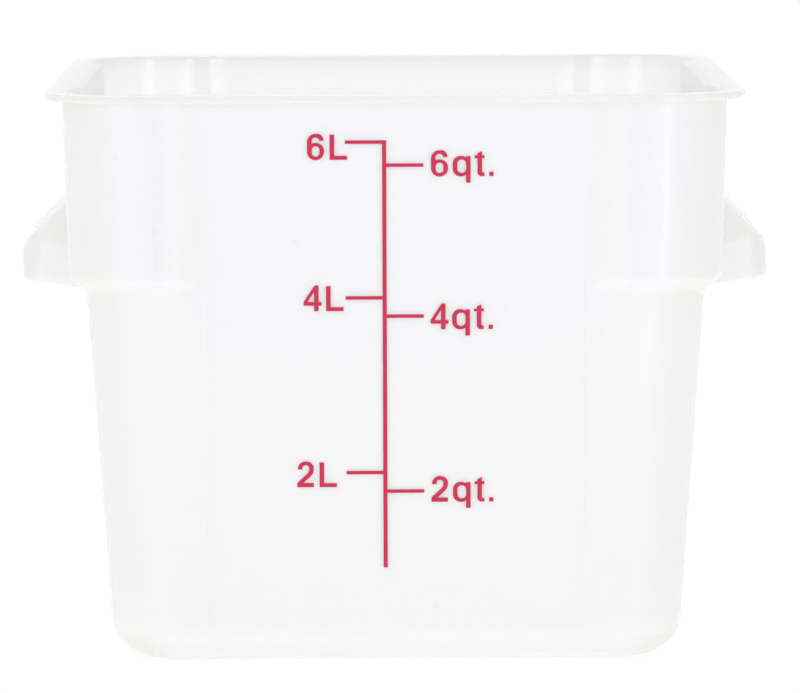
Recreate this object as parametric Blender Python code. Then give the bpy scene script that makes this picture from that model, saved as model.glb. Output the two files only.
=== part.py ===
"""Square food storage tub with two hooded hand grips and a printed capacity scale.

Metres, +Z up. The origin is at the middle of the flat base, the printed front faces -Y and the
grips stand out along X. The tub is one injection moulding: a drafted body with four shoulder
columns above a ledge, recessed panels between the columns, a flat rim flange and a hood over each
hand hold. The scale is a thin film of ink in front of the front panel.
"""
import math
from collections import namedtuple

import bmesh
import bpy
import numpy as np

# Overall sizes
HEIGHT = 0.185
RIM_WIDTH = 0.224

# Rim flange
RIM_CORNER_RADIUS = 0.028
RIM_THICKNESS = 0.0024
RIM_OVERHANG = 0.0056
RIM_EDGE_ROUND = 0.0007
RIM_UNDER_FILLET = 0.0012

# Walls and base
WALL = 0.0023
BASE_THICKNESS = 0.0026
BODY_DRAFT = math.radians(3.7)
BODY_CORNER_RADIUS = 0.020
FOOT_RADIUS = 0.0140
STAND_WIDTH = 0.008
STAND_HEIGHT = 0.0008

# Shoulder columns and the ledge under them
SHOULDER_HEIGHT = 0.060
SHOULDER_DRAFT = math.radians(1.5)
SHOULDER_CORNER_RADIUS = 0.0224
LEDGE_DEPTH = 0.0054
LEDGE_DROP = 0.0047
LEDGE_ROUND = 0.0012

# Recessed panels between the columns
STEP_SPREAD = 0.1416
STEP_ANGLE = math.radians(28.0)
STEP_ROUND = 0.0006
PANEL_RECESS = 0.0005
PANEL_FADE = 0.0022

# Hooded grips
GRIP_SPREAD = 0.245
GRIP_FACE_HEIGHT = 0.0117
GRIP_SLOPE = math.radians(44.5)
GRIP_KNEE_SETBACK = 0.0035
GRIP_FOOT_ROUND = 0.0013
GRIP_FACE_WIDTH = 0.080
GRIP_ROOT_WIDTH = 0.146
GRIP_END_ROUND = 0.0030
GRIP_WALL = 0.0022

# Printed scale
INK_THICKNESS = 0.0003
INK_GAP = 0.0003
SPINE_WIDTH = 0.0013
SPINE_OFFSET = 0.0036
TICK_WIDTH = 0.0011
TICK_LENGTH = 0.0118
SPINE_FOOT_SHARE = 0.173
LITRE_MARK_SHARES = (0.341, 0.647, 0.917)
QUART_MARK_SHARES = (0.308, 0.615, 0.877)

# Reach of a cutter past the face that it cuts
OVERRUN = 0.002

# Straight pieces in each rounded corner
CORNER_SEGMENTS = 8
FOOT_SEGMENTS = 5
ROUND_SEGMENTS = 2
KNEE_SEGMENTS = 4
END_SEGMENTS = 3

# Levels and widths that follow from the sizes above
RIM_HALF = RIM_WIDTH / 2
RIM_UNDERSIDE = HEIGHT - RIM_THICKNESS
LEDGE_TOP = HEIGHT - SHOULDER_HEIGHT
LEDGE_LOW = LEDGE_TOP - LEDGE_DROP
STEP_HALF = STEP_SPREAD / 2
PANEL_BEVEL = PANEL_RECESS / math.tan(STEP_ANGLE)

# One corner of the wall's section: its height, the half widths of the tub at a column, on the body's
# line and at a panel, the places of the column's edge and the panel's crease along the side, the
# radius of the tub's corner, and the setback and the pieces of the section's own rounding.
Station = namedtuple("Station", "height column body panel edge crease corner setback segments")


def shoulder_half(height):
    """Half width of the tub over its shoulder columns, outside."""
    return RIM_HALF - RIM_OVERHANG - (HEIGHT - height) * math.tan(SHOULDER_DRAFT)


def body_half(height):
    """Half width of the drafted body, outside, also where its line runs on between the shoulders."""
    at_ledge = shoulder_half(LEDGE_TOP) - LEDGE_DEPTH
    return at_ledge - (LEDGE_LOW - height) * math.tan(BODY_DRAFT)


def panel_half(height):
    """Distance from the middle of the tub to the outside of a recessed panel."""
    return body_half(height) - PANEL_RECESS


def step_crease(height):
    """Where the slanted side of a shoulder column meets the panel, along the side of the tub."""
    depth = shoulder_half(height) - panel_half(height)
    return STEP_HALF - depth / math.tan(STEP_ANGLE)


def soften(corners, setbacks, segments, closed=False):
    """Rounds the corners of a path with circular arcs.

    The first two numbers of a corner are its place, and the numbers after them ride along. An arc
    starts at its setback before the corner and ends as far after it. Where the way to the next
    corner is too short for both arcs they share it. A straight corner keeps its points, in line.
    """
    room_share = 0.96
    corners = [np.asarray(corner, dtype=float) for corner in corners]
    wanted = [setback if count else 0.0 for setback, count in zip(setbacks, segments)]
    path = []
    for index, corner in enumerate(corners):
        at_end = not closed and index in (0, len(corners) - 1)
        if at_end or wanted[index] == 0.0:
            path.append(corner)
            continue
        following = (index + 1) % len(corners)
        back = corners[index - 1] - corner
        ahead = corners[following] - corner
        back_length = np.linalg.norm(back[:2])
        ahead_length = np.linalg.norm(ahead[:2])
        back_room = room_share * back_length / (wanted[index] + wanted[index - 1])
        ahead_room = room_share * ahead_length / (wanted[index] + wanted[following])
        setback = wanted[index] * min(1.0, back_room, ahead_room)
        start = corner + back * setback / back_length
        end = corner + ahead * setback / ahead_length
        turn_cosine = -(back[:2] @ ahead[:2]) / (back_length * ahead_length)
        weight = math.sqrt(max(0.0, (1.0 + turn_cosine) / 2.0))
        for step in range(segments[index] + 1):
            along = step / segments[index]
            parts = ((1.0 - along) ** 2, 2.0 * weight * along * (1.0 - along), along ** 2)
            path.append((parts[0] * start + parts[1] * corner + parts[2] * end) / sum(parts))
    return path


def wall_face(offset, base, top, top_setback, top_segments):
    """Lists the corners of one face of the wall's section, from its base level up to its top level.

    offset is how far the face lies inside the outer one. Above the ledge the column stands out from
    the body's line, and the slanted side of the column runs down to the ledge without a break.
    Below the ledge the column's edge is only a line on the flat stretch beside the panel.
    """
    flat_share = 0.25
    shift = offset * math.tan(STEP_ANGLE / 2)
    lift = offset * math.tan(math.atan2(LEDGE_DEPTH, LEDGE_DROP) / 2)
    foot_setback = (FOOT_RADIUS - offset) * math.tan((math.pi / 2 - BODY_DRAFT) / 2)
    crease = step_crease(LEDGE_TOP) + shift
    body_corner = BODY_CORNER_RADIUS - offset
    shoulder_corner = SHOULDER_CORNER_RADIUS - offset

    def body_station(height, recess, setback, segments):
        body = body_half(height) - offset
        flat_start = crease + PANEL_BEVEL
        edge = flat_start + flat_share * (body - flat_start)
        return Station(height, body, body, body - recess, edge, crease, body_corner, setback, segments)

    def shoulder_station(height, crease_place, setback, segments):
        return Station(height, shoulder_half(height) - offset, body_half(height) - offset,
                       panel_half(height) - offset, STEP_HALF + shift, crease_place,
                       shoulder_corner, setback, segments)

    return [
        body_station(base, 0, foot_setback, FOOT_SEGMENTS),
        body_station(base + foot_setback + PANEL_FADE, PANEL_RECESS, 0, 0),
        body_station(LEDGE_LOW + lift, PANEL_RECESS, LEDGE_ROUND, ROUND_SEGMENTS),
        shoulder_station(LEDGE_TOP + lift, crease, LEDGE_ROUND, ROUND_SEGMENTS),
        shoulder_station(top, step_crease(top) + shift, top_setback, top_segments),
    ]


def flat_station(height, foot, inset):
    """Station on a level face inside a foot corner, inset further from where the corner ends.

    Its own corner is never tighter than the base is thick.
    """
    half = foot.column - foot.setback - inset
    draw = half / foot.column
    corner = max(foot.corner - foot.setback, BASE_THICKNESS)
    return Station(height, half, half, half, foot.edge * draw, foot.crease * draw, corner, 0, 0)


def rim_station(height):
    """Station at the outer edge of the flange."""
    return Station(height, RIM_HALF, RIM_HALF, RIM_HALF, STEP_HALF, step_crease(HEIGHT),
                   RIM_CORNER_RADIUS, RIM_EDGE_ROUND, ROUND_SEGMENTS)


def wall_rings(stations):
    """Softens the section's corners and makes a closed ring of the wall at each of its points."""
    setbacks = [item.setback for item in stations]
    segments = [item.segments for item in stations]
    columns = [(item.column, item.height, item.edge, item.corner) for item in stations]
    bodies = [(item.body, item.height, item.crease + PANEL_BEVEL) for item in stations]
    panels = [(item.panel, item.height, item.crease) for item in stations]
    paths = [soften(corners, setbacks, segments) for corners in (columns, bodies, panels)]
    return [plan_ring(*points) for points in zip(*paths)]


def tub_rings():
    """Rings of the whole wall: under the base, up the outside, over the rim and down the inside."""
    outside = wall_face(0.0, 0.0, RIM_UNDERSIDE, RIM_UNDER_FILLET, ROUND_SEGMENTS)
    inside = wall_face(WALL, BASE_THICKNESS, HEIGHT, RIM_EDGE_ROUND, ROUND_SEGMENTS)
    stand = [flat_station(STAND_HEIGHT, outside[0], STAND_WIDTH + STAND_HEIGHT),
             flat_station(0.0, outside[0], STAND_WIDTH)]
    rim = [rim_station(RIM_UNDERSIDE), rim_station(HEIGHT)]
    floor = [flat_station(BASE_THICKNESS, inside[0], STAND_WIDTH)]
    return wall_rings(stand + outside + rim + inside[::-1] + floor)


def core_rings():
    """Rings of a solid that fills the tub up to the middle of its wall."""
    half_wall = WALL / 2
    face = wall_face(half_wall, BASE_THICKNESS / 2, RIM_UNDERSIDE, 0, 0)
    return wall_rings([flat_station(BASE_THICKNESS / 2, face[0], STAND_WIDTH)] + face)


def plan_ring(column, body, panel):
    """Makes one closed ring of the wall from the softened points of its three sections.

    column is (half width, height, edge place, corner radius), and body and panel are (half width,
    height, edge place). Every side repeats the first one, turned by a quarter.
    """
    half, height, edge, radius = column
    side = [(-edge, -half, height), (-body[2], -body[0], body[1]), (-panel[2], -panel[0], panel[1]),
            (panel[2], -panel[0], panel[1]), (body[2], -body[0], body[1]), (edge, -half, height),
            (half, -half, height)]
    setbacks = [STEP_ROUND, 0, STEP_ROUND, STEP_ROUND, 0, STEP_ROUND, radius]
    segments = [ROUND_SEGMENTS, 0, ROUND_SEGMENTS, ROUND_SEGMENTS, 0, ROUND_SEGMENTS, CORNER_SEGMENTS]
    corners = []
    for quarter in range(4):
        cosine, sine = ((1, 0), (0, 1), (-1, 0), (0, -1))[quarter]
        corners += [(x * cosine - y * sine, x * sine + y * cosine, z) for x, y, z in side]
    return soften(corners, setbacks * 4, segments * 4, closed=True)


def loft(mesh, rings):
    """Joins closed rings of equal count with quads and closes both ends with a face."""
    loops = [[mesh.verts.new(point) for point in ring] for ring in rings]
    for lower, upper in zip(loops, loops[1:]):
        for index in range(len(lower)):
            after = (index + 1) % len(lower)
            mesh.faces.new((lower[index], lower[after], upper[after], upper[index]))
    mesh.faces.new(list(reversed(loops[0])))
    mesh.faces.new(loops[-1])
    bmesh.ops.recalc_face_normals(mesh, faces=mesh.faces)


def add_object(name, mesh, material):
    """Turns a bmesh into a named object with smooth shading that keeps its sharp edges."""
    sharp_angle = math.radians(32.0)
    data = bpy.data.meshes.new(name)
    mesh.to_mesh(data)
    mesh.free()
    data.shade_smooth()
    data.set_sharp_from_angle(angle=sharp_angle)
    data.materials.append(material)
    item = bpy.data.objects.new(name, data)
    bpy.context.scene.collection.objects.link(item)
    return item


def make_material(name, colour, roughness):
    """Makes a plain plastic or ink finish."""
    material = bpy.data.materials.new(name)
    material.use_nodes = True
    shader = material.node_tree.nodes["Principled BSDF"]
    shader.inputs["Base Color"].default_value = (*colour, 1.0)
    shader.inputs["Roughness"].default_value = roughness
    shader.inputs["Metallic"].default_value = 0.0
    return material


def add_boolean(item, other, operation):
    """Joins or cuts an object with a helper, which is left out of the finished part."""
    other.hide_render = True
    other.display_type = "WIRE"
    modifier = item.modifiers.new(operation.lower(), "BOOLEAN")
    modifier.operation = operation
    modifier.solver = "EXACT"
    modifier.object = other


def grip_section(inset, drop):
    """Section of a grip's hood, in the plane across the tub, from its foot up over face and knee.

    inset moves the face and the slope inward by a wall, and drop moves the open foot down. The
    slope ends inside the tub, where the core cuts it off.
    """
    foot = LEDGE_LOW - drop
    face = GRIP_SPREAD / 2 - inset
    knee = LEDGE_LOW + GRIP_FACE_HEIGHT - inset * math.tan((math.pi / 2 - GRIP_SLOPE) / 2)
    back = panel_half(foot) - WALL
    root = knee + (face - back) * math.tan(GRIP_SLOPE)
    section = soften([(back, foot), (face, foot), (face, knee), (back, root)],
                     [0, 0 if drop else GRIP_FOOT_ROUND, GRIP_KNEE_SETBACK, 0],
                     [0, ROUND_SEGMENTS, KNEE_SEGMENTS, 0])
    return section[1:]


def grip_rings(side, inset, drop):
    """Rings of a grip's hood, one at each point of its section, with two slanted ends."""
    reach = GRIP_SPREAD / 2
    spread = (GRIP_ROOT_WIDTH - GRIP_FACE_WIDTH) / 2 / (reach - panel_half(LEDGE_LOW))
    face_half = GRIP_FACE_WIDTH / 2 - inset * math.hypot(1, spread)
    end_round = GRIP_END_ROUND - inset * math.tan(math.atan2(1, spread) / 2)
    section = grip_section(inset, drop)
    deep = section[-1][0] - WALL
    rings = []
    for out, height in section:
        corners = [(side * place, sign * (face_half + (reach - place) * spread), height)
                   for place, sign in ((deep, -1), (out, -1), (out, 1), (deep, 1))]
        rings.append(soften(corners, [0, end_round, end_round, 0],
                            [0, END_SEGMENTS, END_SEGMENTS, 0], closed=True))
    return rings


def form_object(name, rings, material):
    """Lofts rings into a closed object."""
    mesh = bmesh.new()
    loft(mesh, rings)
    return add_object(name, mesh, material)


def add_tub(material):
    """Lofts the tub's wall and joins a hollow hood to each side."""
    tub = form_object("container_tub", tub_rings(), material)
    core = form_object("core_form", core_rings(), material)
    for label, side in (("left", -1), ("right", 1)):
        hood = form_object("grip_form_" + label, grip_rings(side, 0, 0), material)
        pocket = form_object("pocket_form_" + label, grip_rings(side, GRIP_WALL, OVERRUN), material)
        add_boolean(hood, core, "DIFFERENCE")
        add_boolean(hood, pocket, "DIFFERENCE")
        add_boolean(tub, hood, "UNION")
    return tub


def scale_outline():
    """Outline of the printed comb: up its right side past the quart ticks, down past the litres."""
    half_spine = SPINE_WIDTH / 2
    half_tick = TICK_WIDTH / 2
    foot = SPINE_FOOT_SHARE * HEIGHT
    outline = [(half_spine, foot)]
    for share in QUART_MARK_SHARES:
        mark = share * HEIGHT
        outline += [(half_spine, mark - half_tick), (half_spine + TICK_LENGTH, mark - half_tick),
                    (half_spine + TICK_LENGTH, mark + half_tick), (half_spine, mark + half_tick)]
    head = LITRE_MARK_SHARES[-1] * HEIGHT + half_tick
    outline += [(half_spine, head), (-half_spine - TICK_LENGTH, head),
                (-half_spine - TICK_LENGTH, head - TICK_WIDTH), (-half_spine, head - TICK_WIDTH)]
    for share in reversed(LITRE_MARK_SHARES[:-1]):
        mark = share * HEIGHT
        outline += [(-half_spine, mark + half_tick), (-half_spine - TICK_LENGTH, mark + half_tick),
                    (-half_spine - TICK_LENGTH, mark - half_tick), (-half_spine, mark - half_tick)]
    return outline + [(-half_spine, foot)]


def add_scale(material):
    """Lays the comb of ink parallel to the drafted front panel."""
    mesh = bmesh.new()
    normal = np.array((0.0, -math.cos(BODY_DRAFT), -math.sin(BODY_DRAFT)))
    rings = []
    for lift in (INK_GAP, INK_GAP + INK_THICKNESS):
        rings.append([np.array((x - SPINE_OFFSET, -panel_half(height), height)) + normal * lift
                      for x, height in scale_outline()])
    loft(mesh, rings)
    return add_object("graduation_scale", mesh, material)


def main():
    """Clears the scene and builds the part."""
    for item in list(bpy.data.objects):
        bpy.data.objects.remove(item, do_unlink=True)
    polypropylene = make_material("natural_polypropylene", (0.90, 0.90, 0.89), 0.35)
    ink = make_material("red_ink", (0.66, 0.05, 0.11), 0.45)
    add_tub(polypropylene)
    add_scale(ink)


main()
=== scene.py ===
# %% [markdown]
# # A square food storage tub
#
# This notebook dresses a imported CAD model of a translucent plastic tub: an open box with four
# shoulder columns, a flat rim flange, two hooded hand grips and a printed litre and quart scale.
# The CAD model is the fixed frame, and nothing in it is moved. Its tub has few facets, so a fine
# surface is worked out here from the same sizes and stands for it.

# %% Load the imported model
import math

import bmesh
import bpy
import numpy as np
from mathutils import Matrix, Vector


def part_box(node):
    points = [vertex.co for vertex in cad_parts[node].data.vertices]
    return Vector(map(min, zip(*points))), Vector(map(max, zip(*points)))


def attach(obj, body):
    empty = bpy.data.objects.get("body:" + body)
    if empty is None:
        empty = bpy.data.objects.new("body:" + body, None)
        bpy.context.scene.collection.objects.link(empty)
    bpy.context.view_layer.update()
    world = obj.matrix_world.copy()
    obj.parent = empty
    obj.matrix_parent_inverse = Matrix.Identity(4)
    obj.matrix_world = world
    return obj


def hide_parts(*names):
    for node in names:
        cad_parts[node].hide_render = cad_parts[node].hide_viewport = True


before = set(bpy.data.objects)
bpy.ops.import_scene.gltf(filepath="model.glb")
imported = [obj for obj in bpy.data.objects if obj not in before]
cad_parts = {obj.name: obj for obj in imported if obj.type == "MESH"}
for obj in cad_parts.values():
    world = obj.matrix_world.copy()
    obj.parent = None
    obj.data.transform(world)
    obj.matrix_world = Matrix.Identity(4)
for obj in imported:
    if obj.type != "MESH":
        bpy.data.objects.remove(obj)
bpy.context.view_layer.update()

MM = 0.001
print("nodes:", sorted(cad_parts))

# %% [markdown]
# ## The sizes of the tub
#
# The photograph gives the proportions and the printed marks give the scale, so these are the same
# driving sizes that the CAD model uses. The outer box is read from the frame, and the rest says
# how thick, how rounded and how tapered the moulding is. Sizes are in metres.

# %% Driving sizes
TUB_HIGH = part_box("container_tub")[1]
HEIGHT = TUB_HIGH.z
GRIP_REACH = TUB_HIGH.x
RIM_HALF = TUB_HIGH.y

RIM_CORNER_RADIUS = 28.0 * MM
RIM_THICKNESS = 2.4 * MM
RIM_OVERHANG = 5.6 * MM
RIM_EDGE_ROUND = 0.7 * MM
RIM_UNDER_FILLET = 1.2 * MM

WALL = 2.3 * MM
BASE_THICKNESS = 2.6 * MM
BODY_DRAFT = math.radians(3.7)
BODY_CORNER_RADIUS = 20.0 * MM
FOOT_RADIUS = 14.0 * MM
STAND_WIDTH = 8.0 * MM
STAND_HEIGHT = 0.8 * MM

SHOULDER_HEIGHT = 60.0 * MM
SHOULDER_DRAFT = math.radians(1.5)
SHOULDER_CORNER_RADIUS = 22.4 * MM
LEDGE_DEPTH = 5.4 * MM
LEDGE_DROP = 4.7 * MM
LEDGE_ROUND = 1.2 * MM

STEP_HALF = 70.8 * MM
STEP_ANGLE = math.radians(28.0)
STEP_ROUND = 0.6 * MM
COLUMN_ROUND = 1.8 * MM
PANEL_RECESS = 0.5 * MM
PANEL_FADE = 2.2 * MM

GRIP_FACE_HEIGHT = 11.7 * MM
GRIP_SLOPE = math.radians(44.5)
GRIP_KNEE_SETBACK = 3.5 * MM
GRIP_FOOT_ROUND = 1.3 * MM
GRIP_FACE_WIDTH = 80.0 * MM
GRIP_ROOT_WIDTH = 146.0 * MM
GRIP_END_ROUND = 3.0 * MM
GRIP_WALL = 2.2 * MM

RIM_UNDERSIDE = HEIGHT - RIM_THICKNESS
LEDGE_TOP = HEIGHT - SHOULDER_HEIGHT
LEDGE_LOW = LEDGE_TOP - LEDGE_DROP
PANEL_BEVEL = PANEL_RECESS / math.tan(STEP_ANGLE)
print(f"tub {2 * RIM_HALF / MM:.1f} mm across the rim, {HEIGHT / MM:.1f} mm high")

# %% [markdown]
# ## Rounding many corners at once
#
# A moulded part has no sharp corners: its maker draws a path of straight lines and then rounds each
# corner with an arc. Blender's Bevel could do that to a finished mesh, but it stumbles where many
# small steps meet. So the paths are rounded first, with whole arrays. Every row is one path, so a
# few hundred level outlines of the tub are rounded in one go, and a value such as a height or a
# corner radius can ride along with the point that it belongs to.

# %% Round the corners of paths
ARC_SHARE = 0.96
TINY = 1e-12


def soften(corners, setbacks, counts, closed=False):
    """Rounds the corners of many paths with circular arcs.

    corners is (paths, corners, values), and the first two values are the place. An arc starts its
    setback before the corner C, at S, and ends as far after it, at E. Its points are
    ((1-t)^2 S + 2 w t (1-t) C + t^2 E) / ((1-t)^2 + 2 w t (1-t) + t^2), where w is the cosine of
    half the turn, which makes the curve a true circle. Two arcs that would meet share the way.
    """
    back = np.roll(corners, 1, axis=1) - corners
    ahead = np.roll(corners, -1, axis=1) - corners
    back_length = np.linalg.norm(back[..., :2], axis=2)
    ahead_length = np.linalg.norm(ahead[..., :2], axis=2)
    wanted = np.array(np.broadcast_to(setbacks, corners.shape[:2])) * (np.array(counts) > 0)
    if not closed:
        wanted[:, [0, -1]] = 0.0
    back_room = ARC_SHARE * back_length / np.maximum(wanted + np.roll(wanted, 1, axis=1), TINY)
    ahead_room = ARC_SHARE * ahead_length / np.maximum(wanted + np.roll(wanted, -1, axis=1), TINY)
    setback = wanted * np.minimum(1.0, np.minimum(back_room, ahead_room))
    start = corners + back * (setback / back_length)[..., None]
    end = corners + ahead * (setback / ahead_length)[..., None]
    cosine = -(back[..., :2] * ahead[..., :2]).sum(axis=2) / (back_length * ahead_length)
    weight = np.sqrt(np.clip((1.0 + cosine) / 2.0, 0.0, 1.0))
    arcs = []
    for index, count in enumerate(counts):
        along = np.linspace(0.0, 1.0, count + 1)[None, :, None]
        at_corner = 2.0 * weight[:, index, None, None] * along * (1.0 - along)
        at_start, at_end = (1.0 - along) ** 2, along ** 2
        arc = (at_start * start[:, index, None] + at_corner * corners[:, index, None]
               + at_end * end[:, index, None])
        arcs.append(arc / (at_start + at_corner + at_end))
    return np.concatenate(arcs, axis=1)


square = np.array([[[-1.0, -1.0], [1.0, -1.0], [1.0, 1.0], [-1.0, 1.0]]])
arc = soften(square, 0.5, [4] * 4, closed=True)[0, :5]
print("a square rounded by 0.5: its first arc is", np.hypot(*(arc + 0.5).T), "from its centre")

# %% Add points along paths


def fill(paths, step, closed=False):
    """Adds evenly spaced points to each stretch that is longer than the step, in all paths alike.

    A stretch from A to B that is cut in n gets the points A + (B - A) i / n, for i from 0 to n - 1,
    where n is its greatest length in any path over the step, rounded up.
    """
    following = np.roll(paths, -1, axis=1)
    lengths = np.linalg.norm((following - paths)[..., :3], axis=2).max(axis=0)
    counts = np.maximum(1, np.ceil(lengths / step)).astype(int)
    if not closed:
        counts[-1] = 1
    parts = []
    for index, count in enumerate(counts):
        along = (np.arange(count) / count)[None, :, None]
        parts.append(paths[:, index, None] * (1.0 - along) + following[:, index, None] * along)
    return np.concatenate(parts, axis=1)


line = np.array([[[0.0, 0.0], [1.0, 0.0]]])
print("a line of 1 in steps of at most 0.3:", fill(line, 0.3)[0, :, 0])

# %% Make a closed body from rings


def closed_mesh(name, rings):
    """Makes a closed body from a grid of points (rows, columns, 3), whose rows are closed rings.

    A face joins point (r, c) with (r, c + 1), (r + 1, c + 1) and (r + 1, c), where the column after
    the last is the first. The first and the last ring get one face each, as lids.
    """
    rows, columns = rings.shape[:2]
    index = np.arange(rows * columns).reshape(rows, columns)
    right = np.roll(index, -1, axis=1)
    quads = np.stack([index[:-1], right[:-1], right[1:], index[1:]], axis=-1).reshape(-1, 4)
    faces = quads.tolist() + [index[0, ::-1].tolist(), index[-1].tolist()]
    mesh = bpy.data.meshes.new(name)
    mesh.from_pydata(rings.reshape(-1, 3).tolist(), [], faces)
    shape = bmesh.new()
    shape.from_mesh(mesh)
    bmesh.ops.recalc_face_normals(shape, faces=shape.faces)
    shape.to_mesh(mesh)
    shape.free()
    item = bpy.data.objects.new(name, mesh)
    bpy.context.scene.collection.objects.link(item)
    print(name, rows, "rings of", columns, "points")
    return item


# %% [markdown]
# ## The wall of the tub
#
# On the real object the tub is one injection moulding. Its wall could be made with Solidify from a
# single skin, but then the rim flange and the recessed base would have to be added to it. Here one
# section path runs under the base, up the outside, over the rim, down the inside and across the
# floor, so the wall is closed by itself. The path is drawn three times: through a shoulder column,
# on the line of the body, and through a recessed panel. At each of its points a level outline is
# drawn from those three, and repeated for the four sides.

# %% Half widths at a height


def shoulder_half(height):
    """Half width of the tub over its shoulder columns: it grows evenly up to the rim."""
    return RIM_HALF - RIM_OVERHANG - (HEIGHT - height) * math.tan(SHOULDER_DRAFT)


def body_half(height):
    """Half width of the drafted body: it grows evenly from the base, also behind the shoulders."""
    return shoulder_half(LEDGE_TOP) - LEDGE_DEPTH - (LEDGE_LOW - height) * math.tan(BODY_DRAFT)


def step_crease(height):
    """Place along a side where the slanted side of a column meets the panel."""
    depth = shoulder_half(height) - body_half(height) + PANEL_RECESS
    return STEP_HALF - depth / math.tan(STEP_ANGLE)


for level in (RIM_UNDERSIDE, LEDGE_TOP):
    print(f"{level / MM:.1f} mm up: shoulder {shoulder_half(level) / MM:.1f} mm from the axis, "
          f"body {body_half(level) / MM:.1f}, crease at {step_crease(level) / MM:.1f} mm")

# %% The section of the wall
FOOT_PIECES = 12
ROUND_PIECES = 5
FLAT_SHARE = 0.25


def wall_face(offset, base, top, top_setback):
    """Corners of one face of the wall's section, from its base level up to its top level.

    Each row is: height, half width at a column, at the body's line and at a panel, place of the
    column's edge and of the panel's crease, corner radius, setback, arc pieces.
    """
    shift = offset * math.tan(STEP_ANGLE / 2)
    lift = offset * math.tan(math.atan2(LEDGE_DEPTH, LEDGE_DROP) / 2)
    foot_setback = (FOOT_RADIUS - offset) * math.tan((math.pi / 2 - BODY_DRAFT) / 2)
    crease = step_crease(LEDGE_TOP) + shift

    def body_row(height, recess, setback, pieces):
        body = body_half(height) - offset
        flat_start = crease + PANEL_BEVEL
        edge = flat_start + FLAT_SHARE * (body - flat_start)
        return (height, body, body, body - recess, edge, crease, BODY_CORNER_RADIUS - offset,
                setback, pieces)

    def shoulder_row(height, crease_place, setback, pieces):
        body = body_half(height) - offset
        return (height, shoulder_half(height) - offset, body, body - PANEL_RECESS,
                STEP_HALF + shift, crease_place, SHOULDER_CORNER_RADIUS - offset, setback, pieces)

    return [
        body_row(base, 0.0, foot_setback, FOOT_PIECES),
        body_row(base + foot_setback + PANEL_FADE, PANEL_RECESS, 0.0, 0),
        body_row(LEDGE_LOW + lift, PANEL_RECESS, LEDGE_ROUND, ROUND_PIECES),
        shoulder_row(LEDGE_TOP + lift, crease, LEDGE_ROUND, ROUND_PIECES),
        shoulder_row(top, step_crease(top) + shift, top_setback,
                     ROUND_PIECES if top_setback else 0),
    ]


def flat_row(height, foot, inset):
    """A point on a level face inside the foot's rounding, as far in from it as the inset says.

    Its places along the side are the foot's, drawn in by the share by which its half width is.
    """
    _, foot_half, _, _, edge, crease, corner, setback, _ = foot
    half = foot_half - setback - inset
    draw = half / foot_half
    return (height, half, half, half, edge * draw, crease * draw,
            max(corner - setback, BASE_THICKNESS), 0.0, 0)


def rim_row(height):
    """The outer edge of the flange, as wide at every place along the side."""
    return (height, RIM_HALF, RIM_HALF, RIM_HALF, STEP_HALF, step_crease(HEIGHT),
            RIM_CORNER_RADIUS, RIM_EDGE_ROUND, ROUND_PIECES)


# %% Level outlines at the points of the section
CORNER_PIECES = 22
FILL_STEP = 5.0 * MM


def wall_rings(rows):
    """Level outlines of the wall, (rings, points, 3), one at each point of the rounded section.

    An outline of one side is: column edge, body line, panel crease, and back, then the corner. The
    other three sides are it turned by a quarter, two quarters and three.
    """
    height, column, body, panel, edge, crease, corner, setback, pieces = np.array(rows).T
    flat = crease + PANEL_BEVEL
    sections = np.stack([np.stack([half, height, place, corner], axis=1)
                         for half, place in ((column, edge), (body, flat), (panel, crease))])
    sections = fill(soften(sections, setback, pieces.astype(int)), FILL_STEP)
    (half, level, edge, corner), (half_b, level_b, flat, _), (half_p, level_p, crease, _) = (
        sections.transpose(0, 2, 1))
    places = ((-edge, half, level), (-flat, half_b, level_b), (-crease, half_p, level_p),
              (crease, half_p, level_p), (flat, half_b, level_b), (edge, half, level),
              (half, half, level))
    side = np.stack([np.stack([along, -out, up], axis=1) for along, out, up in places], axis=1)
    quarter = np.array([[0.0, 1.0, 0.0], [-1.0, 0.0, 0.0], [0.0, 0.0, 1.0]])
    turned = [side]
    for _ in range(3):
        turned.append(turned[-1] @ quarter)
    corners = np.concatenate(turned, axis=1)
    step = np.full_like(corner, STEP_ROUND)
    bend = np.full_like(corner, COLUMN_ROUND)
    none = np.zeros_like(corner)
    setbacks = np.tile(np.stack([bend, none, step, step, none, bend, corner], axis=1), (1, 4))
    counts = [ROUND_PIECES, 0, ROUND_PIECES, ROUND_PIECES, 0, ROUND_PIECES, CORNER_PIECES] * 4
    return fill(soften(corners, setbacks, counts, closed=True), FILL_STEP, closed=True)


# %% Draw the wall and the core that trims the grips
outside = wall_face(0.0, 0.0, RIM_UNDERSIDE, RIM_UNDER_FILLET)
inside = wall_face(WALL, BASE_THICKNESS, HEIGHT, RIM_EDGE_ROUND)
stand = [flat_row(STAND_HEIGHT, outside[0], STAND_WIDTH + STAND_HEIGHT),
         flat_row(0.0, outside[0], STAND_WIDTH)]
floor_row = flat_row(BASE_THICKNESS, inside[0], STAND_WIDTH)
tub_rows = stand + outside + [rim_row(RIM_UNDERSIDE), rim_row(HEIGHT)] + inside[::-1] + [floor_row]
tub = closed_mesh("tub_moulding", wall_rings(tub_rows))

middle = wall_face(WALL / 2, BASE_THICKNESS / 2, RIM_UNDERSIDE, 0.0)
core_rows = [flat_row(BASE_THICKNESS / 2, middle[0], STAND_WIDTH)] + middle
core = closed_mesh("core_form", wall_rings(core_rows))

# %% [markdown]
# ## The hooded grips
#
# Each grip is a hood that is open below, so that fingers reach up behind it. Its section is a short
# upright face under a slope of about 45 degrees, and its two ends slant back to the wall. A hood is
# drawn as a solid stack of level outlines. The core, which fills the tub to the middle of its wall,
# and a smaller hood inside it are cut away, and what is left is joined to the wall. Blender's exact
# Boolean does the cutting, because the seam on the stepped wall has no simple formula.

# %% Level outlines of a hood
KNEE_PIECES = 10
END_PIECES = 8
CUT_RUN = 2.0 * MM
HOOD_STEP = 1.6 * MM


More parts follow.
